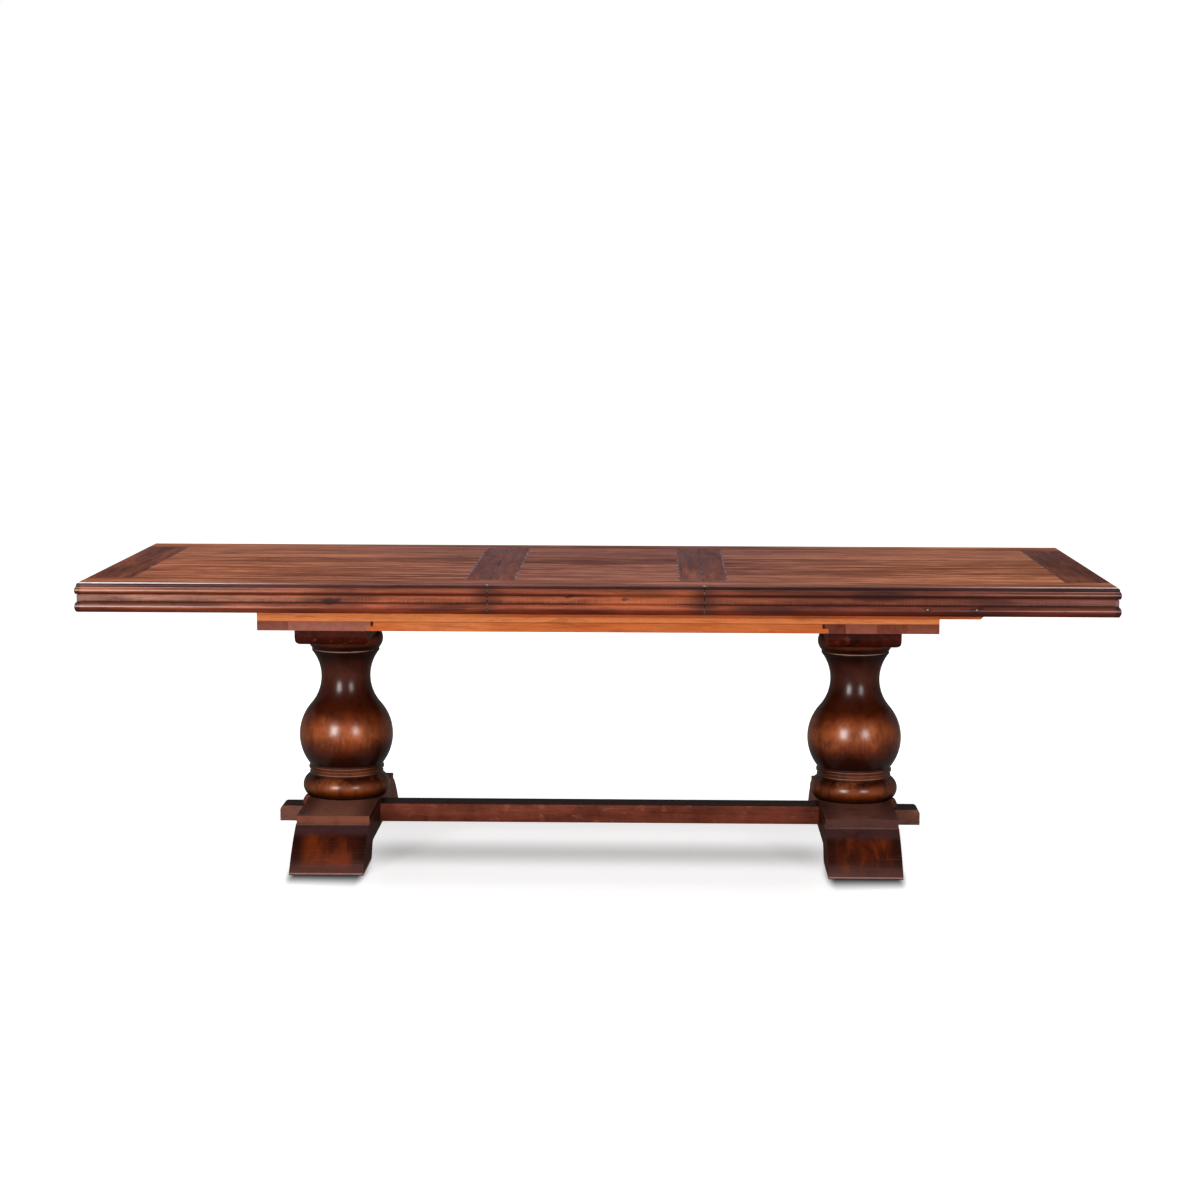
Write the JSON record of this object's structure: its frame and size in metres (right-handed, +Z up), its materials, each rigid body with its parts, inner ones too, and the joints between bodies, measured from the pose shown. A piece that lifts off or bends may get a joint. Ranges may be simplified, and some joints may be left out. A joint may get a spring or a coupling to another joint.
{
  "type": "extending dining table",
  "caption": "Double pedestal trestle dining table with turned columns, arched sled feet, a keyed stretcher and a moulded top that slides apart on wooden rails to take a loose leaf.",
  "frame": {"origin": "on the floor under the middle of the opened table", "axes": "+X along the table towards the right end, +Y across it towards the back, +Z up"},
  "size_m": [2.693, 1.067, 0.778],
  "materials": {
    "field_wood": "satin lacquer over red-brown stained walnut, worn",
    "band_wood": "satin lacquer over dark stained walnut, worn arrises",
    "edge_wood": "satin lacquer with dark glaze in the quirks",
    "base_wood": "satin lacquer with dark glaze over red-brown stain",
    "plate_wood": "thin dark stain",
    "rail_wood": "bare light hardwood, oiled",
    "gear_nylon": "plain moulded nylon",
    "steel": "plain zinc plated"
  },
  "bodies": {
    "base": {"back_centre_rail": "rail_wood", "back_inner_rail": "rail_wood", "back_middle_rail": "rail_wood", "back_outer_rail": "rail_wood", "front_centre_rail": "rail_wood", "front_inner_rail": "rail_wood", "front_middle_rail": "rail_wood", "front_outer_rail": "rail_wood", "gear_board": "rail_wood", "left_bearer": "base_wood", "left_column": "base_wood", "left_foot": "base_wood", "left_plate": "plate_wood", "left_wedge_key": "base_wood", "pinion_pivot": "steel", "right_bearer": "base_wood", "right_column": "base_wood", "right_foot": "base_wood", "right_plate": "plate_wood", "right_wedge_key": "base_wood", "stretcher": "base_wood", "tie_bolts": "steel"},
    "left_top": {"left_back_apron": "edge_wood", "left_back_border": "band_wood", "left_back_slide": "rail_wood", "left_breadboard": "band_wood", "left_end_apron": "edge_wood", "left_end_cleat": "rail_wood", "left_field": "field_wood", "left_front_apron": "edge_wood", "left_front_border": "band_wood", "left_front_slide": "rail_wood", "left_latch_pivot": "steel", "left_rack": "gear_nylon", "left_seam_band": "band_wood"},
    "right_top": {"right_back_apron": "edge_wood", "right_back_border": "band_wood", "right_back_slide": "rail_wood", "right_breadboard": "band_wood", "right_end_apron": "edge_wood", "right_end_cleat": "rail_wood", "right_field": "field_wood", "right_front_apron": "edge_wood", "right_front_border": "band_wood", "right_front_slide": "rail_wood", "right_latch_pivot": "steel", "right_rack": "gear_nylon", "right_seam_band": "band_wood"},
    "leaf": {"leaf_back_apron": "edge_wood", "leaf_back_border": "band_wood", "leaf_field": "field_wood", "leaf_front_apron": "edge_wood", "leaf_front_border": "band_wood", "leaf_latch_posts": "steel", "leaf_left_band": "band_wood", "leaf_right_band": "band_wood"},
    "pinion": {"pinion": "gear_nylon"},
    "left_latch": {"left_latch_lever": "steel"},
    "right_latch": {"right_latch_lever": "steel"}
  },
  "joints": [
    {"name": "right_top_slide", "type": "slide", "parent": "base", "child": "right_top", "axis": [1, 0, 0], "range_m": [0, 0.05]},
    {"name": "left_top_slide", "type": "slide", "parent": "base", "child": "left_top", "axis": [-1, 0, 0], "range_m": [0, 0.05]},
    {"name": "pinion_spin", "type": "hinge", "parent": "base", "child": "pinion", "pos_m": [0, 0, 0.666], "axis": [0, 0, 1], "range_deg": [0, 90]},
    {"name": "leaf_lift", "type": "slide", "parent": "base", "child": "leaf", "axis": [0, 0, 1], "range_m": [0, 0.35]},
    {"name": "right_latch_turn", "type": "hinge", "parent": "right_top", "child": "right_latch", "pos_m": [0.3145, 0.11, 0.743], "axis": [0, 0, 1], "range_deg": [0, 90]},
    {"name": "left_latch_turn", "type": "hinge", "parent": "left_top", "child": "left_latch", "pos_m": [-0.3145, -0.11, 0.743], "axis": [0, 0, 1], "range_deg": [0, 90]}
  ],
  "couplings": [
    {"joint": "left_top_slide", "follows": "right_top_slide", "ratio": 1},
    {"joint": "pinion_spin", "follows": "right_top_slide", "rad_per_m": 31.25}
  ]
}
